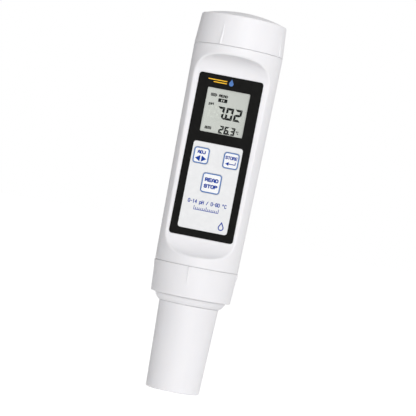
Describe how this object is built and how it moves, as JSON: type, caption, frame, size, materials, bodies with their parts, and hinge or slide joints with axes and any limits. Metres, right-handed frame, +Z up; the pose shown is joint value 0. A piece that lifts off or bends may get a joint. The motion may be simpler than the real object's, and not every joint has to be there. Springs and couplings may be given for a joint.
{
  "type": "ph meter",
  "caption": "Pocket pH and temperature tester: round housing with flat display face, screw battery cap, screw collar, plug-in electrode and storage cap.",
  "frame": {"origin": "middle of the storage cap's foot, where the tester stands", "axes": "+Z up along the tester's length, the display faces -Y"},
  "size_m": [0.0402, 0.0402, 0.171],
  "materials": {
    "housing_plastic": "satin white moulded plastic",
    "key_plastic": "satin white keys with printed blue outlines",
    "black_film": "fine-grained black printed film",
    "pale_film": "fine-grained pale grey printed film",
    "clear_window": "clear hard-coated window",
    "display_glass": "grey-green reflective display",
    "inner_plastic": "dark moulded plastic",
    "seal_rubber": "smooth seal rubber",
    "sponge": "open-cell sponge",
    "membrane_glass": "thin clear glass",
    "silver_wire": "silver wire",
    "steel": "stainless steel",
    "ceramic": "porous ceramic",
    "board": "green solder mask",
    "chip": "black moulding compound",
    "gold_contact": "gold-plated brass",
    "cell_can": "plain dark battery sleeve"
  },
  "bodies": {
    "storage_cap": {"storage_cap": "housing_plastic", "storage_sponge": "sponge"},
    "electrode_module": {"electrode_body": "housing_plastic", "storage_cap_seal": "seal_rubber", "spigot_seal": "seal_rubber", "collar_retaining_ring": "inner_plastic", "sensor_plate": "inner_plastic", "glass_electrode": "membrane_glass", "inner_silver_wire": "silver_wire", "reference_junction": "ceramic", "reference_silver_wire": "silver_wire", "temperature_probe": "steel", "electrode_contact_board": "board", "contact_pins": "gold_contact"},
    "screw_collar": {"screw_collar": "housing_plastic"},
    "housing": {"main_housing": "housing_plastic", "collar_seal": "seal_rubber", "battery_cap_seal": "seal_rubber", "probe_socket": "inner_plastic", "socket_leads": "gold_contact", "front_label": "black_film", "display_window": "clear_window", "key_panel": "pale_film", "left_snap_dome": "steel", "right_snap_dome": "steel", "lower_snap_dome": "steel", "display_glass": "display_glass", "display_frame": "inner_plastic", "upper_contact_strip": "seal_rubber", "lower_contact_strip": "seal_rubber", "circuit_board": "board", "board_screws": "steel", "microcontroller": "chip", "electrode_amplifier": "chip", "clock_crystal": "steel", "battery_cell_1": "cell_can", "battery_cell_2": "cell_can", "battery_cell_3": "cell_can", "battery_cell_4": "cell_can", "battery_cradle": "inner_plastic", "battery_springs": "steel", "spring_plates": "steel", "battery_tabs": "steel"},
    "contact_carrier": {"contact_carrier": "inner_plastic", "cap_contacts": "gold_contact"},
    "battery_cap": {"battery_cap": "housing_plastic", "carrier_pivot_screw": "steel"},
    "left_key": {"left_key": "key_plastic"},
    "right_key": {"right_key": "key_plastic"},
    "lower_key": {"lower_key": "key_plastic"}
  },
  "joints": [
    {"name": "cap_pull", "type": "slide", "parent": "storage_cap", "child": "electrode_module", "axis": [0, 0, 1], "range_m": [0, 0.04]},
    {"name": "collar_turn", "type": "hinge", "parent": "electrode_module", "child": "screw_collar", "pos_m": [0, 0, 0.049], "axis": [0, 0, -1], "range_deg": [0, 1080]},
    {"name": "housing_lift", "type": "slide", "parent": "electrode_module", "child": "housing", "axis": [0, 0, 1], "range_m": [0, 0.009]},
    {"name": "battery_cap_lift", "type": "slide", "parent": "housing", "child": "contact_carrier", "axis": [0, 0, 1], "range_m": [0, 0.009]},
    {"name": "battery_cap_turn", "type": "hinge", "parent": "contact_carrier", "child": "battery_cap", "pos_m": [0, 0, 0.16], "axis": [0, 0, 1], "range_deg": [0, 1080]},
    {"name": "left_key_press", "type": "slide", "parent": "housing", "child": "left_key", "axis": [0, 1, 0], "range_m": [0, 0.0004], "stiffness_N_per_m": 1500, "springref_m": -0.0002},
    {"name": "right_key_press", "type": "slide", "parent": "housing", "child": "right_key", "axis": [0, 1, 0], "range_m": [0, 0.0004], "stiffness_N_per_m": 1500, "springref_m": -0.0002},
    {"name": "lower_key_press", "type": "slide", "parent": "housing", "child": "lower_key", "axis": [0, 1, 0], "range_m": [0, 0.0004], "stiffness_N_per_m": 1500, "springref_m": -0.0002}
  ],
  "couplings": [
    {"joint": "collar_turn", "follows": "housing_lift", "rad_per_m": 2094.4},
    {"joint": "battery_cap_turn", "follows": "battery_cap_lift", "rad_per_m": 2094.4}
  ]
}
